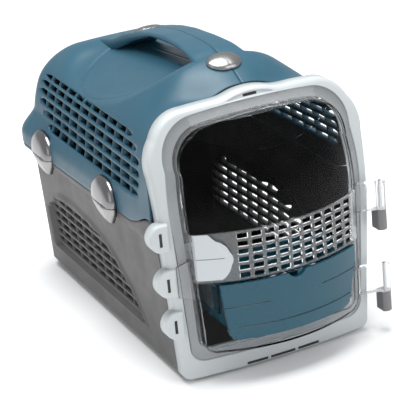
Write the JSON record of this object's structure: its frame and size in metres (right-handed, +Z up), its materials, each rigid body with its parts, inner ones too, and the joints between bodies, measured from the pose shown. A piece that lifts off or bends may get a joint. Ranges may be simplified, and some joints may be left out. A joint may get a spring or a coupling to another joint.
{
  "type": "pet transport carrier",
  "caption": "Hard-shell carrier for a small pet: vented tub, two lift-up roof halves with a built-in handle, white front frame, clear bulged door and a pull-out feeding drawer.",
  "frame": {"origin": "on the floor under the middle of the bounding box", "axes": "+Z up, the door looks along -Y, +X is on the right of someone who faces the door"},
  "size_m": [0.316, 0.527, 0.3768],
  "materials": {
    "charcoal_plastic": "fine moulded texture",
    "foot_rubber": "matt",
    "blue_plastic": "satin",
    "tray_plastic": "gloss",
    "white_plastic": "satin",
    "latch_plastic": "gloss",
    "clear_plastic": "clear gloss",
    "grey_plastic": "satin",
    "pin_steel": "drawn wire",
    "polished_clip": "polished metal finish",
    "satin_clip": "satin metal finish"
  },
  "bodies": {
    "shell": {"base_tub": "charcoal_plastic", "foot_front_left": "foot_rubber", "foot_front_right": "foot_rubber", "foot_rear_left": "foot_rubber", "foot_rear_right": "foot_rubber", "front_frame": "white_plastic", "hinge_block_lower": "grey_plastic", "hinge_block_upper": "grey_plastic", "hinge_pin_lower": "pin_steel", "hinge_pin_upper": "pin_steel", "side_clip_lower_left_front": "satin_clip", "side_clip_lower_left_rear": "satin_clip", "side_clip_lower_right_front": "satin_clip", "side_clip_lower_right_rear": "satin_clip", "side_clip_pin_left_front": "pin_steel", "side_clip_pin_left_rear": "pin_steel", "side_clip_pin_right_front": "pin_steel", "side_clip_pin_right_rear": "pin_steel"},
    "left_roof": {"roof_panel_left": "blue_plastic", "side_clip_upper_left_front": "polished_clip", "side_clip_upper_left_rear": "polished_clip", "top_clip_pin_front": "pin_steel", "top_clip_pin_rear": "pin_steel"},
    "right_roof": {"roof_panel_right": "blue_plastic", "side_clip_upper_right_front": "polished_clip", "side_clip_upper_right_rear": "polished_clip"},
    "door": {"door_shell": "clear_plastic"},
    "latch": {"latch_paddle": "latch_plastic"},
    "tray": {"feeding_tray": "tray_plastic"},
    "top_clip_front": {"top_clip_front": "satin_clip"},
    "top_clip_rear": {"top_clip_rear": "satin_clip"}
  },
  "joints": [
    {"name": "left_roof_lift", "type": "hinge", "parent": "shell", "child": "left_roof", "pos_m": [-0.1545, 0.053, 0.196], "axis": [0, -1, 0], "range_deg": [0, 95]},
    {"name": "right_roof_lift", "type": "hinge", "parent": "shell", "child": "right_roof", "pos_m": [0.1545, 0.053, 0.196], "axis": [0, 1, 0], "range_deg": [0, 95]},
    {"name": "door_swing", "type": "hinge", "parent": "shell", "child": "door", "pos_m": [0.1465, -0.223, 0.12], "axis": [0, 0, 1], "range_deg": [0, 120]},
    {"name": "latch_slide", "type": "hinge", "parent": "door", "child": "latch", "pos_m": [0, -0.053, 0.171], "axis": [0, 0, 1], "range_deg": [0, 3.3], "stiffness_Nm_per_rad": 10, "springref_deg": -1.15},
    {"name": "tray_slide", "type": "slide", "parent": "door", "child": "tray", "axis": [0, -1, 0], "range_m": [0, 0.09]},
    {"name": "top_clip_front_lift", "type": "hinge", "parent": "left_roof", "child": "top_clip_front", "pos_m": [-0.014, -0.13076, 0.36599], "axis": [0, -0.9563, -0.2924], "range_deg": [0, 45]},
    {"name": "top_clip_rear_lift", "type": "hinge", "parent": "left_roof", "child": "top_clip_rear", "pos_m": [-0.014, 0.09272, 0.3565], "axis": [0, -0.9613, 0.2756], "range_deg": [0, 45]}
  ]
}
